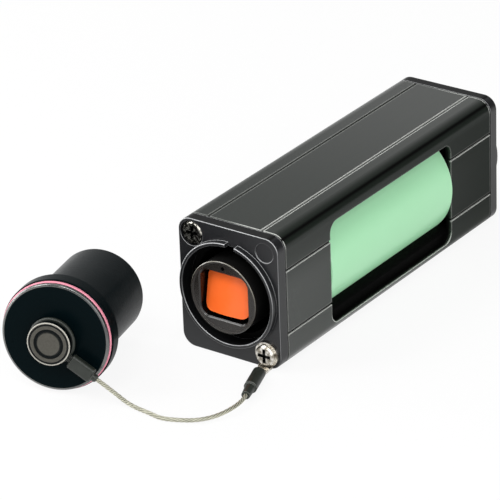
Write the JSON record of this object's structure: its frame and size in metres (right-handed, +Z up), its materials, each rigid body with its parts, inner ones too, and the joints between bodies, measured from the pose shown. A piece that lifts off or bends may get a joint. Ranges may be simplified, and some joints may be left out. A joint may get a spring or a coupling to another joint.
{
  "type": "mpo fibre coupler",
  "caption": "Rectangular in-line coupler for hardened fibre plugs with shuttered round sockets, a side window strip and a plug-shaped dust cap on a wire lanyard.",
  "frame": {"origin": "middle of the underside of the housing", "axes": "+Z up, front socket and cap towards -Y, the side window towards +X"},
  "size_m": [0.0564, 0.1279, 0.031],
  "materials": {
    "housing_alu": "black anodised, satin",
    "flange_black": "black, semi-gloss",
    "core_plastic": "satin",
    "gasket_rubber": "matt",
    "green_strip": "satin",
    "shutter_orange": "gloss",
    "steel": "bright",
    "dark_screw": "blackened",
    "sleeve_black": "satin",
    "wire_rope": "stranded",
    "cap_black": "gloss",
    "seal_pink": "matt"
  },
  "bodies": {
    "coupler": {"housing_tube": "housing_alu", "window_strip": "green_strip", "front_flange": "flange_black", "rear_flange": "flange_black", "front_gasket": "gasket_rubber", "rear_gasket": "gasket_rubber", "front_core": "core_plastic", "rear_core": "core_plastic", "front_core_seal": "gasket_rubber", "rear_core_seal": "gasket_rubber", "front_shutter_pin": "steel", "rear_shutter_pin": "steel", "front_shutter_spring": "steel", "rear_shutter_spring": "steel", "adapter_front_half": "core_plastic", "adapter_rear_half": "core_plastic", "front_upper_screw": "dark_screw", "lanyard_screw": "steel", "rear_upper_screw": "dark_screw", "rear_lower_screw": "dark_screw", "lanyard_eyelet": "steel", "lanyard_housing_sleeve": "sleeve_black", "lanyard_wire": "wire_rope", "lanyard_cap_sleeve": "sleeve_black", "lanyard_cap_loop": "sleeve_black"},
    "front_flap": {"front_shutter": "shutter_orange"},
    "rear_flap": {"rear_shutter": "shutter_orange"},
    "cap": {"cap_plug": "cap_black", "cap_seal_ring": "seal_pink", "cap_button": "cap_black"}
  },
  "joints": [
    {"name": "front_shutter_hinge", "type": "hinge", "parent": "coupler", "child": "front_flap", "pos_m": [0, -0.0423, 0.01975], "axis": [1, 0, 0], "range_deg": [0, 95], "stiffness_Nm_per_rad": 0.0005, "springref_deg": -20.05},
    {"name": "rear_shutter_hinge", "type": "hinge", "parent": "coupler", "child": "rear_flap", "pos_m": [0, 0.0423, 0.01975], "axis": [-1, 0, 0], "range_deg": [0, 95], "stiffness_Nm_per_rad": 0.0005, "springref_deg": -20.05},
    {"name": "cap_swivel", "type": "hinge", "parent": "coupler", "child": "cap", "pos_m": [-0.02267, -0.07607, 0.01297], "axis": [0.3056, -0.946, 0.1079], "continuous": true}
  ]
}
